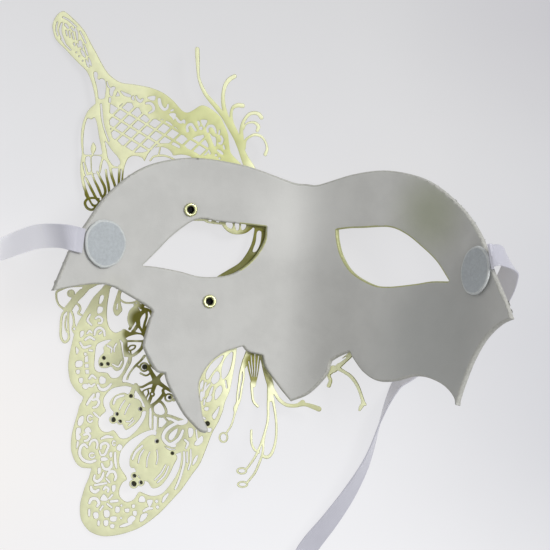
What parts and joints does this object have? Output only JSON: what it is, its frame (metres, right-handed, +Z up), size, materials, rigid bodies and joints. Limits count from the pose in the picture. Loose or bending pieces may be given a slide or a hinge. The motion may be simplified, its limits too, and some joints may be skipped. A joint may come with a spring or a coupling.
{
  "type": "masquerade half mask",
  "caption": "Curved half mask with two eye openings, an etched metal butterfly sheet riveted to its front, set stones, and a tie ribbon glued under a round pad on each side.",
  "frame": {"origin": "on the surface that the mask lies on, in the middle of its outline without the ribbons", "axes": "+Z up, out of the mask's hollow side; +Y towards the forehead edge; +X towards the side with no filigree"},
  "size_m": [0.2497, 0.2641, 0.0746],
  "materials": {
    "shell": "thin moulded shell, matt white inside, satin gold paint on its front and on the eye edges",
    "filigree": "etched sheet, pale gold plating",
    "rivet": "bright plating",
    "stone": "faceted, foil backed",
    "pad": "pressed felt disc",
    "ribbon": "satin weave",
    "tie": "paper band"
  },
  "bodies": {
    "root": {"mask_shell": "shell", "filigree_upper_wing": "filigree", "filigree_body": "filigree", "filigree_lower_wing": "filigree", "upper_rivet": "rivet", "lower_rivet": "rivet", "stone_01": "stone", "stone_02": "stone", "stone_03": "stone", "stone_04": "stone", "stone_05": "stone", "stone_06": "stone", "stone_07": "stone", "stone_08": "stone", "stone_09": "stone", "stone_10": "stone", "stone_11": "stone", "stone_12": "stone", "stone_13": "stone", "stone_14": "stone", "stone_15": "stone", "stone_16": "stone", "left_ribbon_pad": "pad", "right_ribbon_pad": "pad", "left_ribbon_run": "ribbon", "left_ribbon_coil": "ribbon", "left_ribbon_tie": "tie", "right_ribbon_run": "ribbon", "right_ribbon_coil": "ribbon", "right_ribbon_tie": "tie"}
  },
  "joints": []
}
